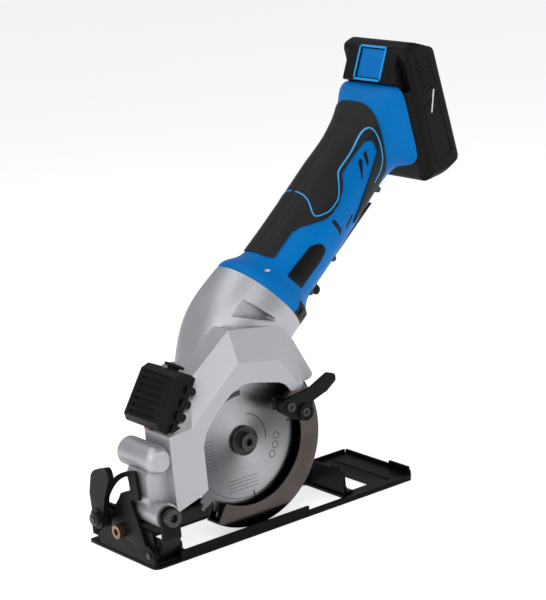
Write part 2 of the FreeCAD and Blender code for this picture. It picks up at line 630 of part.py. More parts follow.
def bearings():
    """Ball bearings as rings: two on the spindle, one on the layshaft's far end, three on the motor."""
    rings = [tube_y(0, ARBOR_HEIGHT, 9.9, ARBOR_RADIUS + RUNNING_GAP, y, y + 5) for y in (8, 26)]
    rings.append(tube_y(LAY_X, LAY_Z, 4.95, 3.5 + RUNNING_GAP, 47.4, 49.8))
    for s, outer in ((60, 8.9), (96.2, 8.0), (159, 8.0)):
        rings.append(on_barrel(ring_x(s, s + 4, outer, 3.0 + RUNNING_GAP)))
    return Part.makeCompound(rings)


# ---------------------------------------------------------------- lower guard

NEAR_STOP = 30.0
FAR_STOP = 52.0
GUARD_START = -122.0
LEVER_BOSS = (28.0, 88.0)


def guard_sector(outer, inner, y0, y1, stop):
    ring = tube_y(0, ARBOR_HEIGHT, outer, inner, y0, y1)
    return ring.common(wedge(outer * 1.25, GUARD_START, stop, 0, ARBOR_HEIGHT, y0, y1))


def lower_guard():
    near = guard_sector(GUARD_RADIUS, 46.5, GUARD_NEAR, GUARD_NEAR + GUARD_WALL, NEAR_STOP)
    rim = guard_sector(GUARD_RADIUS, GUARD_RADIUS - GUARD_WALL, GUARD_NEAR, GUARD_FAR, NEAR_STOP + 4)
    far = guard_sector(GUARD_RADIUS, 15, GUARD_FAR - GUARD_WALL, GUARD_FAR, FAR_STOP)
    hub = rod_y(0, ARBOR_HEIGHT, 18.0, 5.4, 9.4)
    bx, bz = LEVER_BOSS
    tab = slab([(bx - 3, bz + 5), (bx - 4, bz - 5), (bx + 10, bz - 6), (bx + 22, bz - 3), (bx + 18, bz + 8),
                (bx + 8, bz + 6)], GUARD_NEAR, GUARD_NEAR + GUARD_WALL, "xz", 1)
    boss = rod_y(bx, bz, 4.2, FACE_Y - 1.6, GUARD_NEAR + GUARD_WALL)
    guard = near.fuse([rim, far, hub, tab, boss])
    return guard.cut(rod_y(0, ARBOR_HEIGHT, NOSE_RADIUS + RUNNING_GAP, 0, 20)).removeSplitter()


def guard_lever():
    bx, bz = LEVER_BOSS
    blade = slab([(17, 92), (19, 86), (30, 78), (41, 74), (47, 79), (48, 87), (54, 89), (61, 91), (70, 97, 2),
                  (70, 102, 2), (64, 104, 2), (48, 97), (32, 95)], FACE_Y - 5.2, FACE_Y - 1.6, "xz", 1.2)
    ring = rod_y(40.5, 81, 6.2, FACE_Y - 7.2, FACE_Y - 5.2).cut(rod_y(40.5, 81, 4.3, FACE_Y - 8, FACE_Y - 5.2))
    return blade.fuse(ring)


def guard_screws():
    heads = []
    for x, z in ((40.5, 81), LEVER_BOSS):
        head = rod_y(x, z, 3.4, FACE_Y - 6.9, FACE_Y - 5.2)
        cross = box(x - 2, x + 2, FACE_Y - 7.5, FACE_Y - 6, z - 0.4, z + 0.4)
        heads.append(head.cut(cross.fuse(box(x - 0.4, x + 0.4, FACE_Y - 7.5, FACE_Y - 6, z - 2, z + 2))))
    return Part.makeCompound(heads)


def coil(radius, wire, turns_y0, turns_y1, x, z, count):
    """Plain rings standing for the turns of a spring."""
    step = (turns_y1 - turns_y0) / max(1, count - 1)
    return Part.makeCompound([Part.makeTorus(radius, wire, Vector(x, turns_y0 + step * i, z), ALONG_Y)
                              for i in range(count)])


# ---------------------------------------------------------------- laser

LASER_LEAN = 57.0
LASER_FRAME = Placement(Vector(-70.4, 5.0, 92.5), Rotation(ALONG_Y, -LASER_LEAN))


def on_laser(shape):
    """x runs up the slope of the guard, z points away from the guard."""
    placed = shape.copy()
    placed.Placement = LASER_FRAME.multiply(placed.Placement)
    return placed


def laser_housing():
    body = slab([(0, 1), (3, -5), (43, -5), (44, 0), (43, 8), (38, 12), (4, 12), (0, 8)], -19, 23, "xz", 1.5)
    body = body.cut(box(4, 39, -15.5, 19.5, -3, 9.5)).cut(box(38, 46, -4.4, 4.4, -0.4, 5.4))
    for index in range(7):
        body = body.cut(box(6 + index * 5, 8 + index * 5, -13, 17, 11.1, 13))
    for index in range(4):
        fin = rod_y(5 + index * 9.5, -5, 3.0, -21, -11)
        fin = fin.fuse(box(2 + index * 9.5, 8 + index * 9.5, -21, -11, -5, 0))
        body = body.fuse(fin)
    placed = on_laser(body.removeSplitter())
    return placed.cut([guard_solid(0), dust_clearance(), pivot_casting()])


def dust_clearance():
    return rod_y(SPIGOT_X, SPIGOT_Z, SPIGOT_RADIUS + 0.4, -25, 40)


def laser_lens():
    return on_laser(rod_x(0, 4, 3.4, -1.0, -0.1)).cut(guard_solid(0))


def laser_button():
    return on_laser(box(45.4, 47.6, -6.6, 6.6, -2, 6.6).fuse(box(40, 45.4, -4, 4, 0, 5)))


# ---------------------------------------------------------------- handle

HOUSING_ROWS = [(COLLAR_START + 0.3, 36.7, 36.7, 2.0, 1.0, 0), (101, 36.3, 36.3, 2.0, 0.8, 0),
                (107, 32.2, 32.2, 2.0, 0.3, 0), (113, 29.2, 29.2, 2.0, 0, 0), (122, 28.2, 28.2, 2.0, 0, 0),
                (140, 28.0, 28.0, 2.0, 0, 0), (160, 27.8, 27.8, 2.0, 0.4, 0), (180, 27.5, 27.5, 2.0, 1.2, 0),
                (202, 27.2, 27.2, 2.0, 1.9, 0), (222, 26.9, 26.9, 2.0, 2.2, 1), (235, 27.4, 28.0, 2.2, 2.5, 5),
                (245, 29.5, 29.6, 2.8, 2.8, 13), (252, 32.8, 31.0, 4.5, 2.8, 21)]
FOOT_TURN = BARREL_TILT - SLIDE_LEAN


def handle_solid(inset):
    """The whole handle as one closed body, shrunk by inset."""
    rows = [barrel_section(s, wide - inset, tall - inset, power, lift, turn)
            for s, wide, tall, power, lift, turn in HOUSING_ROWS]
    foot = Vector(SLIDE_FACE - 0.3, 0, (SLIDE_LOW + SLIDE_HIGH) / 2)
    foot = BARREL_FRAME.inverse().multVec(SLIDE_FRAME.multVec(foot))
    rows.append(barrel_section(foot.x, BATTERY_HALF_WIDTH - inset, (SLIDE_HIGH - SLIDE_LOW) / 2 - inset, 8.0,
                               foot.z, FOOT_TURN))
    return Part.makeLoft(rows, True, False)


def vents(grow):
    """Air outlets on both lower flanks of the collar."""
    ring = ring_x(COLLAR_START - 1, 104 + grow, 42, 27)
    near = ring.common(wedge(50, 191 - grow, 256 + grow, 0, 0, COLLAR_START - 2, 110, "yz"))
    far = ring.common(wedge(50, 284 - grow, 349 + grow, 0, 0, COLLAR_START - 2, 110, "yz"))
    return near.fuse(far)


def vent_grille():
    ring = ring_x(COLLAR_START + 0.6, 103.6, 35.2, 29.2).common(vents(-0.6))
    for index in range(24):
        slit = box(96, 101.5, -1.1, 1.1, 27, 40)
        slit.rotate(Vector(0, 0, 0), ALONG_X, 15 * index + 7)
        ring = ring.cut(slit)
    return on_barrel(ring)


PADDLE_START = 138.0
PADDLE_END = 206.0


def handle_openings():
    paddle = box(PADDLE_START - 1.5, PADDLE_END + 2, -10.8, 10.8, -40, -18)
    lock = box(123.6, 133.4, -5.6, 5.6, -40, -18)
    return paddle.fuse([lock, vents(0.2)])


def housing_shells():
    shell = handle_solid(0).cut(handle_solid(SHELL)).cut(handle_openings())
    collar_bore = rod_x(0, 0.8, 29.2, COLLAR_START - 1, 97)
    shell = shell.cut(collar_bore)
    halves = {}
    for name, low, high in (("housing_left", -60, -0.02), ("housing_right", 0.02, 60)):
        halves[name] = on_barrel(shell.common(box(50, 320, low, high, -80, 80)))
    return halves


GRIP_OUTLINE = [(GRIP_START, 40), (GRIP_START, 27), (117.8, 22.7, 2), (141, 22.7, 8), (148, 20.6, 6), (163, 10.9, 8),
                (170, 9, 6), (178, 9, 5), (190, 12.8, 6), (199, 19, 5), (229, 19, 4), (233.4, 15, 3), (229, 7, 6),
                (199, -4.7, 10), (178.6, -13.9), (190, -16.4, 6), (202, -13.4, 6), (214, -14.6, 6), (225, -10.2, 4),
                (258, 40)]


def grip_skins():
    """Rubber overmould on the top and flanks, one skin on each half of the housing."""
    skin = handle_solid(-1.1).cut(handle_solid(-0.02)).common(slab(GRIP_OUTLINE, -60, 60))
    return {name: on_barrel(skin.common(box(100, 270, low, high, -60, 60)))
            for name, low, high in (("grip_left", -60, -0.02), ("grip_right", 0.02, 60))}


def name_plaque():
    """Plain dark plaque let onto the near flank of the housing."""
    plate = slab([(112, 12.2, 1), (112.4, -5.5, 1), (138.6, -5.5, 3), (146.8, -0.3, 3), (148, 4.5, 3),
                  (143, 12.0, 4), (134.7, 13.2, 6)], -34, -16)
    return on_barrel(plate.common(handle_solid(-0.5)).cut(handle_solid(-0.02)))


def case_screws():
    """Screws that draw the two housing halves together, on the near flank, and the gear cover's four."""
    screws = []
    for s, z, radius in ((105.1, 23.4, 33.0), (119, -20.5, 28.3), (150, -20.5, 28.0), (212, -17, 26.8)):
        y = -math.sqrt(radius ** 2 - z ** 2) + 1.0
        screws.append(on_barrel(rod_y(s, z, 2.4, y - 1.4, y + 1.2)))
    return Part.makeCompound(screws + gear_cover_screws())


PADDLE_PIN_Z = -23.4


def paddle_trigger():
    body = slab([(PADDLE_START, -22.0), (PADDLE_START, -26.2), (PADDLE_START + 3, -28.0), (198, -30.2),
                 (PADDLE_END, -30.4, 1), (PADDLE_END, -27.2, 1), (PADDLE_START + 8, -22.0)], -10, 10)
    rounding = superellipse(Vector(PADDLE_START - 1, 0, -14), ALONG_Y, ALONG_Z, 11, 16.8, 3.2)
    rounding = Part.Face(rounding).extrude(ALONG_X * 80)
    body = body.common(rounding)
    return on_barrel(body.cut(rod_y(PADDLE_START + 3, PADDLE_PIN_Z, 1.25 + RUNNING_GAP, -20, 20)))


def paddle_pin():
    return on_barrel(rod_y(PADDLE_START + 3, PADDLE_PIN_Z, 1.25, -12.6, 12.6))


def lock_off_button():
    stem = box(125, 132, -4.6, 4.6, -35, -25.2)
    return on_barrel(stem.fuse(rod_y(128.5, -34.4, 3.4, -4.6, 4.6)))


def switch_module():
    """Switch above the paddle, on its control board."""
    body = box(168, 196, -8, 8, -18, -6).fuse(box(178, 184, -3, 3, -20, -18))
    board = box(166, 205, -16, 16, -6, -4.4).fuse(box(176, 190, -6, 6, -4.4, 1))
    return on_barrel(body.fuse(board))


def dock_plate():
    """Black end plate of the handle, with the two rails' channel and the terminal tower."""
    low, high = SLIDE_LOW + 4, SLIDE_HIGH - 4
    plate = box(SLIDE_FACE - 5, SLIDE_FACE - 1.2, -30, 30, low, high)
    plate = plate.cut(box(SLIDE_FACE - 6, SLIDE_FACE, -12, 12, low + 14, high - 14))
    return on_slide(plate).common(on_barrel(handle_solid(SHELL + 0.15)))


def terminals():
    pieces = [box(SLIDE_FACE - 9, SLIDE_FACE - 1.0, y - 0.5, y + 0.5, 219, 235) for y in (-8, -2, 4, 9)]
    return on_slide(Part.makeCompound(pieces))


# ---------------------------------------------------------------- battery

BATTERY_OUTLINE = [(SLIDE_FACE + 0.5, 180.5, 4), (238, 179.5, 6), (255, 187, 6), (253.5, 274, 6), (236, 284.5, 8),
                   (228.5, 282, 5), (213.2, 258.3, 1.5), (SLIDE_FACE + 0.5, 257.7)]
BATTERY_HOLLOW = [(SLIDE_FACE + 3, 183.6), (238.4, 182.6), (252, 188.8), (250.7, 272), (236, 281), (229.6, 278.8),
                  (SLIDE_FACE + 3, 263)]
BATTERY_SPLIT = SLIDE_FACE + 8
CAP_HALF_WIDTH = 28.5
CAP_FOOT = (213.2, 258.3)
CAP_LEAN = math.radians(57.2)


def cap_point(along, depth):
    """Point in the battery's side view, up the cap's leaning front and into it."""
    return (CAP_FOOT[0] + along * math.cos(CAP_LEAN) + depth * math.sin(CAP_LEAN),
            CAP_FOOT[1] + along * math.sin(CAP_LEAN) - depth * math.cos(CAP_LEAN))


def cap_sides(grow):
    """What is taken off both sides of the cap, which is narrower than the pack behind it."""
    side = box(190, BATTERY_SPLIT + grow, CAP_HALF_WIDTH - grow, 60, 250 - grow, 300)
    return side.fuse(side.mirror(Vector(0, 0, 0), ALONG_Y))


def battery_solid(points, inset):
    profile = slab(points, -BATTERY_HALF_WIDTH + inset, BATTERY_HALF_WIDTH - inset)
    wide = BATTERY_HALF_WIDTH - inset
    sides = slab([(-wide, 178.5), (wide, 178.5), (wide, 286), (-wide, 286)], 200, 270, "yz", 8)
    corners = slab([(190, 4.5 - wide), (SLIDE_FACE, 4.5 - wide), (230, -wide, 4), (258, -wide, 6), (258, wide, 6),
                    (230, wide, 4), (SLIDE_FACE, wide - 4.5), (190, wide - 4.5)], 170, 300, "xy")
    return profile.common(sides).common(corners)


def button_outline(grow, front):
    return slab([cap_point(4 - grow, front), cap_point(26 + grow, front), cap_point(26 + grow, 5 + 6 * grow),
                 cap_point(4 - grow, 5 + 6 * grow)], -13.5 - grow, 13.5 + grow)


def battery_shells():
    """Deep rear shell and the front shell that carries the cap with the release button."""
    hollow = battery_solid(BATTERY_HOLLOW, 2.2).cut(cap_sides(2.2))
    shell = battery_solid(BATTERY_OUTLINE, 0).cut([hollow, cap_sides(0), button_outline(0.5, -6)])
    front = box(190, BATTERY_SPLIT, -60, 60, 170, 300)
    return {"battery_front": on_slide(shell.common(front)),
            "battery_shell": on_slide(shell.cut(box(190, BATTERY_SPLIT + 0.1, -60, 60, 170, 300)))}


def battery_button():
    """Wide push button in the leaning front of the battery; pressing it frees the latch."""
    return on_slide(button_outline(0, 1.0))


def battery_cells():
    cells = [rod_y(241.3, 194.3 + 18.12 * i, 9.05, -32.5, 32.5) for i in range(5)]
    return on_slide(Part.makeCompound(cells))


# ---------------------------------------------------------------- small moving parts

def spindle_lock():
    prong = rod_y(7.2, ARBOR_HEIGHT, 2.0, 35, 45.5)
    return rod_y(0, ARBOR_HEIGHT, 9.0, 45.2, 52).fuse(prong)


def depth_bolt():
    x, z = depth_bolt_place()
    shank = rod_y(x, z, 2.95, 40, DEPTH_Y + 12)
    return shank.fuse(rod_y(x, z, 5.0, DEPTH_Y + 9.6, DEPTH_Y + 12))


def depth_lever():
    """Clamp lever on the far side, which locks the cutting depth."""
    x, z = depth_bolt_place()
    hub = rod_y(x, z, 7.0, DEPTH_Y + 3.0, DEPTH_Y + 9)
    arm = slab([(x - 4, z - 4), (x + 6, z - 5), (x + 38, z + 8, 3), (x + 36, z + 15, 3), (x + 4, z + 6)],
               DEPTH_Y + 4, DEPTH_Y + 8.4, "xz", 1)
    return hub.fuse(arm).cut(rod_y(x, z, 2.95 + RUNNING_GAP, DEPTH_Y, DEPTH_Y + 20))


def write_parts():
    single = [
        sole_plate, front_bracket, rear_bracket, base_rivets, bevel_pin, bevel_stop_screw, fence_screw,
        tilt_yoke, plunge_bolt, bevel_bolt, bevel_lever, depth_arc, depth_bolt, depth_lever, upper_guard,
        dust_spigot, gear_housing, gear_cover, case_screws, saw_blade, motor_can, motor_magnets,
        brush_holder, bearings, lower_guard, guard_lever, guard_screws, laser_housing, laser_lens,
        laser_button, vent_grille, name_plaque, paddle_trigger, paddle_pin, lock_off_button, switch_module,
        dock_plate, terminals, battery_button, battery_cells, spindle_lock,
    ]
    for make in single:
        save(make.__name__, make())
    for group in (blade_group, lay_group, armature_group, housing_shells, grip_skins, battery_shells):
        for name, shape in group().items():
            save(name, shape)
    save("guard_spring", coil(20.5, 0.8, 8.6, 9.4, 0, ARBOR_HEIGHT, 1))
    save("plunge_spring", coil(8.2, 0.9, 16.6, 26.6, PIVOT_X, PIVOT_Z, 5))


write_parts()
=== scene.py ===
import json
import math

import bmesh
import bpy
from mathutils import Matrix, Vector
from mathutils.bvhtree import BVHTree


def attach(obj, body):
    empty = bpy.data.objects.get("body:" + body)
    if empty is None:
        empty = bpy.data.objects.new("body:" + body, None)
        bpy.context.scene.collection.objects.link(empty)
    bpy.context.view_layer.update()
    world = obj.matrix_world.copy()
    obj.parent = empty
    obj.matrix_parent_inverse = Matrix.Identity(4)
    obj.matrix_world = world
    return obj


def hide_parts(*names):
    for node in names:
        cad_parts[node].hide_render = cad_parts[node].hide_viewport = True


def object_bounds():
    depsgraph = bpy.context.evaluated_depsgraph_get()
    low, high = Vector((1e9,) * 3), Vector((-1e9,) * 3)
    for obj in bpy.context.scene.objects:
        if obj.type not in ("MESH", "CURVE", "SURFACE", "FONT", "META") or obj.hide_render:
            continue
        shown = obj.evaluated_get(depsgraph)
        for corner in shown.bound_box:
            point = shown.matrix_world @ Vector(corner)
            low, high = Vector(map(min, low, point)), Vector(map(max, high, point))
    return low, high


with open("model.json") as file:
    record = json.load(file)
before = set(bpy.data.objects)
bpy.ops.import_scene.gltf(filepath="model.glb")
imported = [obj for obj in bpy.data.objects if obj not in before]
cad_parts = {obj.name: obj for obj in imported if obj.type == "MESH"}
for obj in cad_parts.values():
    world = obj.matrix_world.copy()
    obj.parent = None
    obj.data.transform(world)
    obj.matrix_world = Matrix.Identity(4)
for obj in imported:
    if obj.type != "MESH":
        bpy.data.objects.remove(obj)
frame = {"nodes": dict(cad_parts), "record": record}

CAD_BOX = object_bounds()
MM = 0.001
NODES = frame["nodes"]
BEHAVIOUR = frame["record"]["behaviour"]
SLOT_OF = {part["node"]: part["material_slot"] for part in frame["record"]["subparts"]}
BODY_OF = {node: body for body, nodes in BEHAVIOUR["bodies"].items() for node in nodes}
JOINT = {joint["name"]: joint for joint in BEHAVIOUR["joints"]}

# The motor barrel's axis starts beside the spindle and rises towards the battery.
BARREL_TILT = math.radians(40.0)
BARREL_START = Vector(JOINT["lay_spin"]["pos_m"]) / MM
BARREL_START.y = JOINT["motor_spin"]["pos_m"][1] / MM
ALONG = Vector((math.cos(BARREL_TILT), 0.0, math.sin(BARREL_TILT)))
ABOVE = Vector((-math.sin(BARREL_TILT), 0.0, math.cos(BARREL_TILT)))
SPINDLE = Vector(JOINT["blade_spin"]["pos_m"]) / MM


def on_barrel(s, across, above):
    """Point at s along the barrel, across it and above its axis, in millimetres in the row frame."""
    return BARREL_START + ALONG * s + Vector((0, across, 0)) + ABOVE * above


# ---------------------------------------------------------------- materials

def add(tree, kind, inputs=None, **settings):
    """New shader node; an input is given a value, or the socket that feeds it."""
    node = tree.nodes.new(kind)
    for key, value in settings.items():
        setattr(node, key, value)
    for key, value in (inputs or {}).items():
        if isinstance(value, bpy.types.NodeSocket):
            tree.links.new(value, node.inputs[key])
        else:
            node.inputs[key].default_value = value
    return node


def noise(tree, coords, scale, detail):
    inputs = {"Vector": coords, "Scale": scale, "Detail": detail}
    return add(tree, "ShaderNodeTexNoise", inputs).outputs["Fac"]


def spread(tree, value, low, high, start=0.3, end=0.7):
    """value from start to end, mapped to low to high and clamped."""
    inputs = {"Value": value, "From Min": start, "From Max": end, "To Min": low, "To Max": high}
    return add(tree, "ShaderNodeMapRange", inputs).outputs["Result"]


def calc(tree, operation, a, b=0.0, clamp=False):
    node = add(tree, "ShaderNodeMath", {0: a, 1: b}, operation=operation, use_clamp=clamp)
    return node.outputs["Value"]


def blended(tree, factor, a, b):
    """Colour a where factor is 0 and b where it is 1."""
    mix = add(tree, "ShaderNodeMix", data_type="RGBA")
    for index, value in ((0, factor), (6, a), (7, b)):
        if isinstance(value, bpy.types.NodeSocket):
            tree.links.new(value, mix.inputs[index])
        elif index == 0:
            mix.inputs[index].default_value = value
        else:
            mix.inputs[index].default_value = (*value, 1.0)
    return mix.outputs[2]


def shade(colour, factor):
    return tuple(min(1.0, channel * factor) for channel in colour)


# Bump height of the surface grain in metres, and how far the grain stirs the roughness.
GRAIN_HEIGHT = 0.0003
GRAIN_STIR = 0.03
# Specks are this much brighter than their paint, and come up as the grain's noise crosses this range.
SPECK_BRIGHTNESS = 2.0
SPECK_RANGE = (0.5, 0.75)
# Pointiness from a flat face to an edge fully lightened by rubbed wear and painted highlight.
EDGE_WEAR_AND_HIGHLIGHT_RANGE = (0.52, 0.6)


def finish(name, colour, rough, metallic, grain, depth, patches, contrast, wear_and_highlight=None, coat=0.0,
           specular=0.5, speckle=0.0):
    """Material with uneven colour and gloss and a fine grain.

    Edges carry painted highlight and rubbed wear where wear_and_highlight is a colour, and there are
    bright specks where speckle is above 0.
    """
    material = bpy.data.materials.new(name)
    material.use_nodes = True
    tree = material.node_tree
    shader = tree.nodes["Principled BSDF"]
    place = add(tree, "ShaderNodeTexCoord").outputs["Object"]
    broad = noise(tree, place, patches, 4.0)
    fine = noise(tree, place, grain, 2.0)
    dark, light = shade(colour, 1 - contrast), shade(colour, 1 + contrast)
    tint = blended(tree, spread(tree, broad, 0.0, 1.0), dark, light)
    if speckle:
        specks = spread(tree, fine, 0.0, speckle, *SPECK_RANGE)
        tint = blended(tree, specks, tint, shade(colour, SPECK_BRIGHTNESS))
    # Painted highlight and rubbed wear: sharp edges lightened towards the given colour.
    if wear_and_highlight:
        edge = add(tree, "ShaderNodeNewGeometry").outputs["Pointiness"]
        worn_and_lit = calc(tree, "MULTIPLY", spread(tree, edge, 0.0, 1.0, *EDGE_WEAR_AND_HIGHLIGHT_RANGE),
                      spread(tree, broad, 0.2, 0.8))
        tint = blended(tree, worn_and_lit, tint, wear_and_highlight)
    tree.links.new(tint, shader.inputs["Base Color"])
    gloss = calc(tree, "ADD", spread(tree, broad, rough[0], rough[1]),
                 spread(tree, fine, -GRAIN_STIR, GRAIN_STIR))
    tree.links.new(gloss, shader.inputs["Roughness"])
    bump = add(tree, "ShaderNodeBump", {"Height": fine, "Strength": depth, "Distance": GRAIN_HEIGHT})
    tree.links.new(bump.outputs["Normal"], shader.inputs["Normal"])
    shader.inputs["Metallic"].default_value = metallic
    shader.inputs["Coat Weight"].default_value = coat
    shader.inputs["Specular IOR Level"].default_value = specular
    return material


def within(tree, value, middle, half):
    """1 where value is no further than half from middle, else 0."""
    test = calc(tree, "COMPARE", value, middle)
    test.node.inputs[2].default_value = half
    return test


# The blade's plain printed marks, in millimetres from the spindle, and in radians about it that
# start from the battery's side and go up.
PRINTED_RING = {"radius": 42.5, "half": 0.2}
BAND = {"radius": 35.5, "half": 1.9, "turn": 1.95, "sweep": 0.42}
ARC = {"radius": 19.5, "half": 0.35, "turn": 0.55, "sweep": 0.75}
CIRCLE_TURNS = (-0.62, -0.38, -0.14)
CIRCLES_OUT = 29.0
CIRCLE = {"radius": 2.5, "half": 0.3}
# Each block of rules: its middle along X and Z from the spindle, then half its width and height.
RULE_BLOCKS = ((-31.0, -3.0, 6.5, 12.0), (-4.0, -31.0, 13.0, 5.5))
RULES_PER_METRE = 380.0
RULE_HALF = 0.14
RULE_STRENGTH = 0.6
PRINT_STRENGTH = 0.85
PRINT_COLOUR = (0.03, 0.03, 0.03)
PRINT_ROUGHNESS = 0.5
# The ground finish: noise steps per metre of radius and per radian about the spindle, then its bump's
# strength and height in metres, and its two greys.
GROUND_RINGS = 9000.0
GROUND_LOBES = 1.5
GROUND_DEPTH = 0.12
GROUND_HEIGHT = 0.0002
GROUND_DARK = (0.26, 0.26, 0.275)
GROUND_LIGHT = (0.42, 0.42, 0.435)
# Painted reflection: two dark fans on opposite sides of the spindle, set in the blade's colour.
PAINTED_REFLECTION_FANS = 2.0
PAINTED_REFLECTION_TURN = 0.7
PAINTED_REFLECTION_DEPTH = 0.4
PAINTED_REFLECTION_DARK = (0.05, 0.05, 0.055)
BLADE_ANISOTROPY = 0.8


def either(tree, a, b):
    """Mask that holds wherever one of the two does."""
    return calc(tree, "MAXIMUM", a, b)


def both(tree, a, b):
    """Mask that holds only where both do."""
    return calc(tree, "MULTIPLY", a, b)


def sector(tree, radius, angle, mark):
    """Mask of a mark that follows a circle about the spindle for part of the way round."""
    return both(tree, within(tree, radius, mark["radius"] * MM, mark["half"] * MM),
                within(tree, angle, mark["turn"], mark["sweep"]))


def blade_print(tree, parts, flat, radius, angle):
    """Mask of the printed marks: a ring, a band, an arc, three circles and two blocks of rules."""
    ring = within(tree, radius, PRINTED_RING["radius"] * MM, PRINTED_RING["half"] * MM)
    band = sector(tree, radius, angle, BAND)
    arc = sector(tree, radius, angle, ARC)
    mask = either(tree, either(tree, ring, band), arc)
    for turn in CIRCLE_TURNS:
        spot = Vector((math.cos(turn), 0.0, math.sin(turn))) * CIRCLES_OUT * MM
        gap = add(tree, "ShaderNodeVectorMath", {0: flat, 1: spot}, operation="DISTANCE")
        circle = within(tree, gap.outputs["Value"], CIRCLE["radius"] * MM, CIRCLE["half"] * MM)
        mask = either(tree, mask, circle)
    steps = calc(tree, "FRACT", calc(tree, "MULTIPLY", parts["Z"], RULES_PER_METRE))
    rules = within(tree, steps, 0.5, RULE_HALF)
    for across, above, half_width, half_height in RULE_BLOCKS:
        block = both(tree, within(tree, parts["X"], across * MM, half_width * MM),
                     within(tree, parts["Z"], above * MM, half_height * MM))
        faint = calc(tree, "MULTIPLY", both(tree, rules, block), RULE_STRENGTH)
        mask = either(tree, mask, faint)
    return mask


def blade_finish():
    """Ground steel with fine rings about the spindle, a painted reflection in two dark fans, and plain
    printed marks.
    """
    material = finish("ground_blade", (0.50, 0.50, 0.51), (0.24, 0.34), 1.0, 900, 0.04, 25, 0.05)
    tree = material.node_tree
    shader = tree.nodes["Principled BSDF"]
    place = add(tree, "ShaderNodeTexCoord").outputs["Object"]
    centred = add(tree, "ShaderNodeVectorMath", {0: place, 1: SPINDLE * MM}, operation="SUBTRACT")
    parts = add(tree, "ShaderNodeSeparateXYZ", {"Vector": centred.outputs["Vector"]}).outputs
    flat = add(tree, "ShaderNodeCombineXYZ", {"X": parts["X"], "Z": parts["Z"]}).outputs["Vector"]
    radius = add(tree, "ShaderNodeVectorMath", {0: flat}, operation="LENGTH").outputs["Value"]
    angle = calc(tree, "ARCTAN2", parts["Z"], parts["X"])

    polar = {"X": calc(tree, "MULTIPLY", radius, GROUND_RINGS),
             "Y": calc(tree, "MULTIPLY", angle, GROUND_LOBES)}
    rings = add(tree, "ShaderNodeCombineXYZ", polar).outputs["Vector"]
    ground = noise(tree, rings, 1.0, 3.0)
    # Painted reflection: the colour darkens in two fans about the spindle, whatever the light.
    fans = calc(tree, "SINE", calc(tree, "ADD", calc(tree, "MULTIPLY", angle, PAINTED_REFLECTION_FANS), PAINTED_REFLECTION_TURN))
    painted_reflection = calc(tree, "ADD", calc(tree, "MULTIPLY", fans, PAINTED_REFLECTION_DEPTH), PAINTED_REFLECTION_DEPTH, True)
    printed = calc(tree, "MULTIPLY", blade_print(tree, parts, flat, radius, angle), PRINT_STRENGTH)

    tint = blended(tree, spread(tree, ground, 0.0, 1.0), GROUND_DARK, GROUND_LIGHT)
    # The painted reflection is blended into the ground steel's colour.
    tint = blended(tree, painted_reflection, tint, PAINTED_REFLECTION_DARK)
    tint = blended(tree, printed, tint, PRINT_COLOUR)
    tree.links.new(tint, shader.inputs["Base Color"])
    gloss = calc(tree, "MAXIMUM", spread(tree, ground, 0.20, 0.34),
                 calc(tree, "MULTIPLY", printed, PRINT_ROUGHNESS))
    tree.links.new(gloss, shader.inputs["Roughness"])
    bump = add(tree, "ShaderNodeBump",
               {"Height": ground, "Strength": GROUND_DEPTH, "Distance": GROUND_HEIGHT})
    tree.links.new(bump.outputs["Normal"], shader.inputs["Normal"])
    around = add(tree, "ShaderNodeTangent", direction_type="RADIAL", axis="Y")
    tree.links.new(around.outputs["Tangent"], shader.inputs["Tangent"])
    shader.inputs["Anisotropic"].default_value = BLADE_ANISOTROPY
    return material


BLUE = (0.0, 0.145, 0.45)
PALE_BLUE = (0.005, 0.31, 0.72)
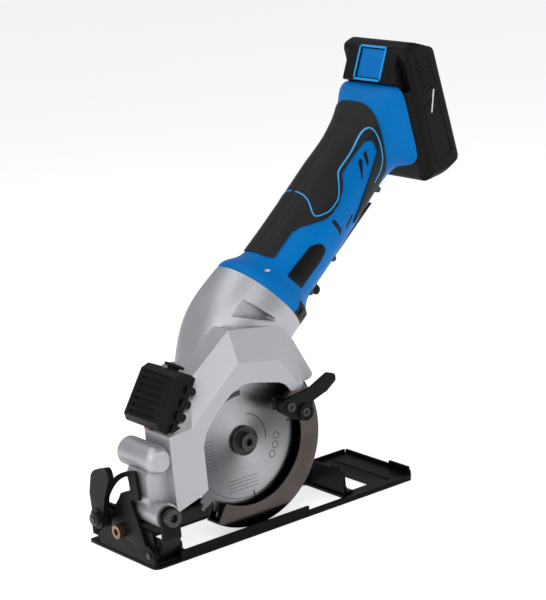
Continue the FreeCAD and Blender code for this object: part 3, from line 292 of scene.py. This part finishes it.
# Material of each slot: name, colour, roughness range, metallic, grain and its strength, patches and
# their contrast.  Grain and patches are noise scales, so larger is finer.
FINISHES = {
    "silver_casting": finish("silver_cast_paint", (0.40, 0.41, 0.435), (0.32, 0.44), 0.65, 3200,
                             0.35, 20, 0.06, speckle=0.3),
    "blue_housing": finish("blue_moulding", BLUE, (0.34, 0.44), 0.0, 2200, 0.12, 14, 0.07,
                           specular=0.06),
    "grip_rubber": finish("grip_rubber", (0.010, 0.010, 0.011), (0.44, 0.56), 0.0, 2600, 0.40, 18,
                          0.2, specular=0.18),
    # The black finishes' lighter edges are painted highlight and rubbed wear.
    "black_steel": finish("black_coated_steel", (0.002, 0.002, 0.0025), (0.30, 0.44), 0.0, 1500,
                          0.22, 26, 0.3, wear_and_highlight=(0.010, 0.010, 0.011), specular=0.08),
    "black_plastic": finish("black_moulding", (0.004, 0.004, 0.0045), (0.34, 0.48), 0.0, 1900, 0.28,
                            22, 0.25, wear_and_highlight=(0.012, 0.012, 0.013), specular=0.11),
    "blade_steel": blade_finish(),
    "guard_steel": finish("dark_polished_guard", (0.09, 0.075, 0.068), (0.16, 0.28), 1.0, 700, 0.05,
                          30, 0.25),
    "black_fastener": finish("black_oxide", (0.010, 0.010, 0.011), (0.28, 0.4), 0.3, 2400, 0.15, 60,
                             0.3, wear_and_highlight=(0.12, 0.12, 0.12)),
    "bronze_screw": finish("bronze_passivate", (0.26, 0.17, 0.11), (0.26, 0.38), 1.0, 2200, 0.1, 80,
                           0.2),
    "zinc_screw": finish("zinc_plate", (0.52, 0.47, 0.38), (0.25, 0.36), 1.0, 2200, 0.1, 80, 0.15),
    "gear_steel": finish("machined_steel", (0.38, 0.38, 0.39), (0.25, 0.4), 1.0, 1500, 0.12, 50,
                         0.15),
    "winding_copper": finish("winding_copper", (0.55, 0.25, 0.12), (0.3, 0.45), 1.0, 1500, 0.2, 60,
                             0.25),
    "lens_glass": finish("lens_glass", (0.25, 0.02, 0.02), (0.05, 0.1), 0.0, 900, 0.02, 60, 0.1,
                         coat=0.6),
    "blue_button": finish("blue_button", BLUE, (0.28, 0.38), 0.0, 2200, 0.1, 16, 0.08,
                          specular=0.15),
    "white_print": finish("white_print", (0.6, 0.6, 0.6), (0.4, 0.5), 0.0, 1800, 0.05, 40, 0.05),
    "cell_wrap": finish("cell_wrap", (0.05, 0.25, 0.14), (0.3, 0.4), 0.0, 1200, 0.08, 40, 0.1),
}
CONTOUR = finish("pale_blue_contour", PALE_BLUE, (0.3, 0.4), 0.0, 2200, 0.08, 16, 0.06)
# Painted shade: a near-black finish for the flank's slots and slashes and the ridge's seams, where
# recesses and grooves lie in shade.
PAINTED_SHADE = finish("shadowed_recess", (0.004, 0.004, 0.005), (0.5, 0.6), 0.0, 1900, 0.2, 30, 0.3,
                specular=0.2)


# ---------------------------------------------------------------- pieces taken from the CAD solids

def link(name, mesh, body, slot_name, *nodes):
    piece = bpy.data.objects.new(name, mesh)
    bpy.context.scene.collection.objects.link(piece)
    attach(piece, body)
    if nodes:
        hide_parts(*nodes)
    return piece


# Vertices closer than this many metres are one, and faces within this many degrees are one flat.
WELD = 2e-6
FLAT_WITHIN = math.radians(0.8)
ROUNDING_STEPS = 2


def softened(node, width, sharp):
    """The CAD node again, its edges over sharp degrees rounded by width millimetres."""
    mesh = NODES[node].data.copy()
    mesh.materials.clear()
    form = bmesh.new()
    form.from_mesh(mesh)
    bmesh.ops.remove_doubles(form, verts=form.verts, dist=WELD)
    bmesh.ops.dissolve_limit(form, angle_limit=FLAT_WITHIN, verts=form.verts, edges=form.edges)
    form.to_mesh(mesh)
    form.free()
    mesh.shade_smooth()
    mesh.set_sharp_from_angle(angle=math.radians(sharp))
    mesh.materials.append(FINISHES[SLOT_OF[node]])
    piece = link(node + ".look", mesh, BODY_OF[node], SLOT_OF[node], node)
    bevel = piece.modifiers.new("rounding", "BEVEL")
    bevel.width = width * MM
    bevel.segments = ROUNDING_STEPS
    bevel.limit_method = "ANGLE"
    bevel.angle_limit = math.radians(sharp)
    bevel.harden_normals = True
    bevel.miter_outer = "MITER_ARC"


# How far each of these nodes is rounded, in millimetres.
ROUNDED = {
    "upper_guard": 0.7, "dust_spigot": 0.6, "gear_housing": 0.8, "gear_cover": 0.4,
    "sole_plate": 0.35, "front_bracket": 0.3, "rear_bracket": 0.3, "tilt_yoke": 0.4,
    "depth_arc": 0.3, "bevel_lever": 0.5, "depth_lever": 0.5, "fence_screw": 0.5,
    "bevel_bolt": 0.25, "plunge_bolt": 0.35, "bevel_stop_screw": 0.3, "bevel_pin": 0.2,
    "depth_bolt": 0.25, "lower_guard": 0.2, "guard_lever": 0.35, "guard_screws": 0.2,
    "laser_housing": 0.45, "laser_button": 0.4, "outer_flange": 0.25, "arbor_bolt": 0.25,
    "paddle_trigger": 0.5, "lock_off_button": 0.4, "battery_front": 0.6, "battery_shell": 0.8,
    "battery_button": 0.5, "spindle_lock": 0.4, "case_screws": 0.15, "vent_grille": 0.2,
}
# An edge is sharp from this many degrees on; these two nodes have shallow facets of their own.
SHARP_FROM = 28.0
CRISP = {"upper_guard": 12.0, "laser_housing": 20.0}
# Along the barrel, in millimetres: beyond this the housing's screws are the ones under the handle.
HANDLE_SCREWS_FROM = 110.0


def dress_nodes():
    """Rounded copies for the nodes in ROUNDED, and a material on every other node."""
    for node in sorted(NODES):
        if node in ROUNDED:
            softened(node, ROUNDED[node], CRISP.get(node, SHARP_FROM))
        else:
            NODES[node].data.materials.clear()
            NODES[node].data.materials.append(FINISHES[SLOT_OF[node]])


def darken_handle_screws():
    """The screws under the handle are black; the gear cover's and the collar's stay bright."""
    mesh = bpy.data.objects["case_screws.look"].data
    mesh.materials.append(FINISHES["black_fastener"])
    for face in mesh.polygons:
        along = (face.center / MM - BARREL_START).dot(ALONG)
        face.material_index = 1 if along > HANDLE_SCREWS_FROM else 0


dress_nodes()
darken_handle_screws()


# ---------------------------------------------------------------- details laid on the CAD surfaces

def surface_of(*nodes):
    """Search tree over the surface of these CAD nodes."""
    places, faces = [], []
    for node in nodes:
        mesh = NODES[node].data
        first = len(places)
        places += [vertex.co.copy() for vertex in mesh.vertices]
        faces += [[first + index for index in face.vertices] for face in mesh.polygons]
    return BVHTree.FromPolygons(places, faces)


# Steps between two points of a path, steps round a corner, and the longest side of a patch's triangles
# in millimetres, which takes at most so many rounds of cutting.
PATH_STEPS = 6
CORNER_STEPS = 5
PATCH_REACH = 2.0
PATCH_ROUNDS = 5
# How deep a laid piece reaches under its surface, in millimetres, and its sharp edges' least angle.
SINK = 0.5
LAID_SHARP = math.radians(50)


def curved(points, closed):
    """Smooth path through the points."""
    count = len(points)
    path = []
    for index in range(count if closed else count - 1):
        around = [index - 1, index, index + 1, index + 2]
        around = [k % count if closed else min(max(k, 0), count - 1) for k in around]
        a, b, c, d = (Vector(points[k]) for k in around)
        for step in range(PATH_STEPS):
            t = step / PATH_STEPS
            path.append(0.5 * (2 * b + (c - a) * t + (2 * a - 5 * b + 4 * c - d) * t * t
                               + (3 * b - a - 3 * c + d) * t ** 3))
    if not closed:
        path.append(Vector(points[-1]))
    return path


def rounded_loop(corners, bend):
    """Closed outline with its corners rounded from bend millimetres away, as points."""
    loop = []
    for index, corner in enumerate(corners):
        corner = Vector(corner)
        before = (Vector(corners[index - 1]) - corner).normalized() * bend
        after = (Vector(corners[(index + 1) % len(corners)]) - corner).normalized() * bend
        for step in range(CORNER_STEPS + 1):
            t = step / CORNER_STEPS
            loop.append(corner + before * (1 - t) ** 2 + after * t ** 2)
    return loop


def ribbon(points, width, closed=False):
    """Flat strip along a path: its points in three rows, and its faces."""
    path = curved(points, closed)
    spots, faces = [], []
    for index, spot in enumerate(path):
        ahead = path[(index + 1) % len(path)] if closed else path[min(index + 1, len(path) - 1)]
        behind = path[index - 1] if closed else path[max(index - 1, 0)]
        along = (ahead - behind).normalized()
        side = Vector((-along.y, along.x)) * (width / 2)
        spots += [spot - side, spot, spot + side]
    for index in range(len(path) if closed else len(path) - 1):
        a, b = 3 * index, 3 * ((index + 1) % len(path))
        faces += [(a, b, b + 1, a + 1), (a + 1, b + 1, b + 2, a + 2)]
    return spots, faces


def patch(points):
    """Flat area inside an outline, cut into small triangles so that it can follow a curve."""
    form = bmesh.new()
    form.faces.new([form.verts.new((point[0], point[1], 0)) for point in points])
    bmesh.ops.triangulate(form, faces=form.faces)
    for _ in range(PATCH_ROUNDS):
        long = [edge for edge in form.edges if edge.calc_length() > PATCH_REACH]
        if not long:
            break
        bmesh.ops.subdivide_edges(form, edges=long, cuts=1)
        bmesh.ops.triangulate(form, faces=form.faces)
    form.verts.index_update()
    spots = [vertex.co.xy.copy() for vertex in form.verts]
    faces = [tuple(vertex.index for vertex in face.verts) for face in form.faces]
    form.free()
    return spots, faces


def laid(name, shape, aim, surface, rise, material, body, slot_name):
    """Closed thin piece: a flat shape laid on a surface.

    aim gives each point's start and direction, and rise is how proud it stands, in millimetres.
    """
    spots, faces = shape
    tops, feet = [], []
    for spot in spots:
        start, heading = aim(spot)
        hit, normal, _, _ = surface.ray_cast(start * MM, heading)
        if hit is None:
            raise RuntimeError(name + " misses the surface")
        if normal.dot(heading) > 0:
            normal = -normal
        lean = (normal - heading).normalized()
        tops.append(hit + lean * rise * MM)
        feet.append(hit - lean * SINK * MM)
    count = len(tops)
    edges = {}
    for face in faces:
        for corner, following in zip(face, (*face[1:], face[0])):
            edges.setdefault(frozenset((corner, following)), []).append((corner, following))
    rims = [pairs[0] for pairs in edges.values() if len(pairs) == 1]
    walls = [(b, a, a + count, b + count) for a, b in rims]
    undersides = [tuple(corner + count for corner in reversed(face)) for face in faces]
    mesh = bpy.data.meshes.new(name)
    mesh.from_pydata(tops + feet, [], [*faces, *walls, *undersides])
    form = bmesh.new()
    form.from_mesh(mesh)
    bmesh.ops.recalc_face_normals(form, faces=form.faces)
    form.to_mesh(mesh)
    form.free()
    mesh.shade_smooth()
    mesh.set_sharp_from_angle(angle=LAID_SHARP)
    mesh.materials.append(material)
    return link(name, mesh, body, slot_name)


# The handle is nearly round: its radius, and how far its middle lies above the barrel's axis.
HANDLE_RADIUS = 29.2
HANDLE_LIFT = 0.6
# Rays start this far off: in handle radii for the flank, above the barrel's axis for the ridge.
FLANK_START = 2.0
RIDGE_START = 70.0


def on_flank(side):
    """Aims at the handle's flank, square to it, for points given as (along the barrel, above it)."""
    def aim(spot):
        above = min(max(spot.y - HANDLE_LIFT, -HANDLE_RADIUS), HANDLE_RADIUS)
        across = side * math.sqrt(HANDLE_RADIUS ** 2 - above ** 2)
        heading = -(Vector((0, across, 0)) + ABOVE * above).normalized()
        start = on_barrel(spot.x, FLANK_START * across, HANDLE_LIFT + FLANK_START * above)
        return start, heading
    return aim


def on_ridge(spot):
    """Aims at the handle's ridge from above, for points given as (along the barrel, across)."""
    return on_barrel(spot.x, spot.y, RIDGE_START), -ABOVE


# Outlines on the flank, in millimetres along the barrel and above its axis.
CONTOUR_PATH = [
    (170.8, 29.7), (170.6, 28.9), (169.8, 27.3), (167.8, 25.0), (164.4, 22.3), (161.3, 19.4),
    (161.4, 16.8), (166.4, 13.6), (170.6, 11.9), (176.6, 11.4), (182.2, 12.1), (188.8, 15.6),
    (196.6, 20.4), (201.7, 21.4), (214.8, 21.5), (227.0, 22.5), (233.7, 22.6), (238.0, 21.4),
    (239.4, 18.6), (236.6, 12.5), (231.5, 5.1), (226.4, -1.1), (219.8, -5.2), (210.9, -7.2),
]
PLAQUE = [(112.0, 10.5), (112.6, -5.4), (138.0, -6.6), (146.0, -5.0),
          (148.4, -1.0), (147.0, 3.5), (141.0, 8.5)]
# The slots and slashes are laid in painted shade.
DARK_SLOTS = [[(165.4, 5.9), (168.3, 4.9), (167.3, -6.4), (163.5, -9.6)],
              [(180.4, -6.4), (170.7, -9.9), (171.3, -11.5), (181.9, -8.7)]]
SLASHES = [[(213.6, 14.7), (216.8, 15.1), (217.1, 13.4), (206.0, 4.3), (204.6, 4.2)],
           [(220.7, 15.1), (224.6, 15.1), (217.9, 7.2), (215.8, 7.6)]]
# Seams run along the ridge: their stops along the barrel, and their places across it.  The middle
# one lies beside the fine gap between the halves.
# Each seam is a thin line of painted shade.
SEAM_STOPS = (118.0, 140.0, 165.0, 190.0, 212.0, 228.0)
SEAMS_ACROSS = (0.04, -7.5, 7.5)
# Width of each line, and how proud each detail stands.
CONTOUR_WIDTH = 0.85
CONTOUR_RISE = 0.25
SLOT_RISE = 0.12
SEAM_WIDTH = 0.6
SEAM_RISE = 0.06
PLAQUE_BEND = 2.0
PLAQUE_RISE = 0.5


def add_handle_details():
    halves = ((-1, "near", "housing_left", "grip_left"), (1, "far", "housing_right", "grip_right"))
    for side, tag, half, grip in halves:
        skin = surface_of(half, grip)
        laid("grip_contour_" + tag, ribbon(CONTOUR_PATH, CONTOUR_WIDTH), on_flank(side), skin,
             CONTOUR_RISE, CONTOUR, "saw", "blue_housing")
        for index, points in enumerate(DARK_SLOTS + SLASHES):
            # Slots and slashes: thin patches in painted shade.
            laid(f"flank_slot_{tag}_{index}", patch(points), on_flank(side), skin, SLOT_RISE, PAINTED_SHADE,
                 "saw", "black_plastic")
    ridge = surface_of("grip_left", "grip_right", "housing_left", "housing_right")
    for index, across in enumerate(SEAMS_ACROSS):
        path = [(along, across) for along in SEAM_STOPS]
        # Seam: a thin ribbon in painted shade.
        laid(f"grip_seam_{index}", ribbon(path, SEAM_WIDTH), on_ridge, ridge, SEAM_RISE, PAINTED_SHADE,
             "saw", "grip_rubber")
    plaque = laid("plaque.look", patch(rounded_loop(PLAQUE, PLAQUE_BEND)), on_flank(-1),
                  surface_of("housing_left"), PLAQUE_RISE, FINISHES["black_plastic"], "saw",
                  "black_plastic")
    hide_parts("name_plaque")


# The battery slides up a face that leans back a little.
SLIDE_LEAN = math.radians(10.3)
SLIDE_OUT = Vector((math.cos(SLIDE_LEAN), 0.0, math.sin(SLIDE_LEAN)))
SLIDE_UP = Vector((-math.sin(SLIDE_LEAN), 0.0, math.cos(SLIDE_LEAN)))
# Outlines and lines on its flank, in millimetres out of the handle and up the slide.
PANEL = [(233.0, 192.0), (235.0, 190.0), (247.0, 193.5), (249.5, 196.0), (248.5, 240.0),
         (234.0, 234.0)]
THUMB_AREA = [(236.0, 243.0), (249.0, 248.0), (248.5, 268.0), (246.0, 271.0), (238.0, 272.0),
              (235.5, 269.0)]
BORDER_BEND = 2.0
BORDER_WIDTH = 0.8
BORDER_RISE = 0.4
STRIPE = [(239.0, 228.5), (245.5, 244.5)]
STRIPE_WIDTH = 1.0
STRIPE_RISE = 0.5
# Thumb ribs: the first one's level and the next ones' step, where each starts and ends, and its climb.
RIB_COUNT = 7
RIB_LEVEL = 249.0
RIB_STEP = 3.0
RIB_ENDS = (238.0, 246.6)
RIB_CLIMB = 0.6
RIB_WIDTH = 1.3
RIB_RISE = 0.45
# The cap's front leans back; its frame is drawn in millimetres up that front and across it.
BUTTON_FRAME = [(2.6, -15.0), (2.6, 15.0), (27.4, 15.0), (27.4, -15.0)]
FRAME_BEND = 2.5
FRAME_WIDTH = 1.5
FRAME_RISE = 0.5
CAP_FOOT = (213.2, 258.3)
CAP_LEAN = math.radians(57.2)
# Rays start this far off, in millimetres: beside the battery's middle, and before the cap's front.
PACK_START = 60.0
CAP_START = 20.0


def on_pack(side):
    """Aims at the battery's flank, for points given as (out of the handle, up the slide)."""
    def aim(spot):
        place = SLIDE_OUT * spot.x + SLIDE_UP * spot.y
        place.y = BARREL_START.y + PACK_START * side
        return place, Vector((0, -side, 0))
    return aim


def on_cap(spot):
    """Aims at the cap's leaning front, for points given as (up the front, across)."""
    outwards = SLIDE_UP * math.cos(CAP_LEAN) - SLIDE_OUT * math.sin(CAP_LEAN)
    place = SLIDE_OUT * (CAP_FOOT[0] + spot.x * math.cos(CAP_LEAN))
    place += SLIDE_UP * (CAP_FOOT[1] + spot.x * math.sin(CAP_LEAN))
    place.y = BARREL_START.y + spot.y
    return place + outwards * CAP_START, -outwards


def add_battery_details():
    front = surface_of("battery_front", "battery_shell")
    rim = ribbon(rounded_loop(BUTTON_FRAME, FRAME_BEND), FRAME_WIDTH, True)
    laid("button_frame", rim, on_cap, front, FRAME_RISE, CONTOUR, "battery", "blue_button")
    shell = surface_of("battery_shell")
    black = FINISHES["black_plastic"]
    for side, tag in ((-1, "near"), (1, "far")):
        for name, corners in (("panel", PANEL), ("thumb_area", THUMB_AREA)):
            border = ribbon(rounded_loop(corners, BORDER_BEND), BORDER_WIDTH, True)
            laid(f"battery_{name}_{tag}", border, on_pack(side), shell, BORDER_RISE, black,
                 "battery", "black_plastic")
        laid("battery_stripe_" + tag, ribbon(STRIPE, STRIPE_WIDTH), on_pack(side), shell,
             STRIPE_RISE, FINISHES["white_print"], "battery", "black_plastic")
        for index in range(RIB_COUNT):
            level = RIB_LEVEL + RIB_STEP * index
            rib = ribbon([(RIB_ENDS[0], level), (RIB_ENDS[1], level + RIB_CLIMB)], RIB_WIDTH)
            laid(f"battery_rib_{tag}_{index}", rib, on_pack(side), shell, RIB_RISE, black,
                 "battery", "black_plastic")


add_handle_details()
add_battery_details()


# ---------------------------------------------------------------- floor, light and camera

FLOOR_SIZE = 6.0
FLOOR_GLOW = 0.55
WORLD_STRENGTH = 0.38
WHITE = (1.0, 1.0, 1.0, 1.0)
# Every lamp faces this place.  For each: its own place, its width and height, and its power in watts.
LIT_MIDDLE = (0.03, 0.03, 0.14)
LAMPS = {
    "key_softbox": ((-0.55, -0.9, 1.05), (0.9, 0.9), 5.5),
    "side_softbox": ((1.0, -0.55, 0.5), (0.5, 1.1), 2.5),
    "left_softbox": ((-1.1, -0.15, 0.75), (0.7, 0.9), 5.0),
    "top_softbox": ((-0.3, 0.5, 1.3), (1.2, 0.6), 4.0),
}


def add_floor():
    bpy.ops.mesh.primitive_plane_add(size=FLOOR_SIZE, location=(0.0, 0.0, CAD_BOX[0][2]))
    floor = bpy.context.object
    floor.name = "floor"
    paint = finish("pale_floor", (0.86, 0.86, 0.86), (0.5, 0.6), 0.0, 300, 0.02, 3, 0.01,
                   specular=0.1)
    shader = paint.node_tree.nodes["Principled BSDF"]
    shader.inputs["Emission Color"].default_value = WHITE
    shader.inputs["Emission Strength"].default_value = FLOOR_GLOW
    floor.data.materials.append(paint)


def add_lamp(name, place, size, power):
    lamp = bpy.data.lights.new(name, "AREA")
    lamp.shape = "RECTANGLE"
    lamp.size, lamp.size_y = size
    lamp.energy = power
    holder = bpy.data.objects.new(name, lamp)
    bpy.context.scene.collection.objects.link(holder)
    holder.location = place
    towards = Vector(LIT_MIDDLE) - Vector(place)
    holder.rotation_euler = towards.to_track_quat("-Z", "Y").to_euler()


def add_lights():
    world = bpy.data.worlds.new("studio")
    world.use_nodes = True
    sky = world.node_tree.nodes["Background"].inputs
    sky["Color"].default_value = WHITE
    sky["Strength"].default_value = WORLD_STRENGTH
    bpy.context.scene.world = world
    for name, (place, size, power) in LAMPS.items():
        add_lamp(name, place, size, power)


# The camera: angles about the object in degrees, distances in metres, lens and sensor in millimetres.
CAMERA_TURN = -34.94
CAMERA_RISE = 15.08
CAMERA_ROLL = -5.805
CAMERA_REACH = 1.650373
CAMERA_ASIDE = 0.015117
CAMERA_ABOVE = 0.163287
CAMERA_LENS = 137.43
CAMERA_SENSOR = 36.0
CAMERA_CLIP = (0.05, 30.0)
# The point below the spindle that those distances start from.
CAMERA_AIM = Vector((0.0, 0.013, 0.0))


def add_camera():
    turn, rise, roll = (math.radians(value) for value in (CAMERA_TURN, CAMERA_RISE, CAMERA_ROLL))
    level = Vector((math.cos(turn), math.sin(turn), 0.0))
    back = Vector((math.sin(turn) * math.cos(rise), -math.cos(turn) * math.cos(rise),
                   math.sin(rise)))
    plumb = back.cross(level)
    right = level * math.cos(roll) + plumb * math.sin(roll)
    up = plumb * math.cos(roll) - level * math.sin(roll)
    place = CAMERA_AIM + right * CAMERA_ASIDE + up * CAMERA_ABOVE + back * CAMERA_REACH
    camera = bpy.data.objects.new("camera", bpy.data.cameras.new("camera"))
    bpy.context.scene.collection.objects.link(camera)
    camera.matrix_world = Matrix.Translation(place) @ Matrix((right, up, back)).transposed().to_4x4()
    camera.data.lens = CAMERA_LENS
    camera.data.sensor_width = CAMERA_SENSOR
    camera.data.clip_start, camera.data.clip_end = CAMERA_CLIP
    bpy.context.scene.camera = camera


add_floor()
add_lights()
add_camera()
bpy.context.scene.view_settings.view_transform = "Standard"
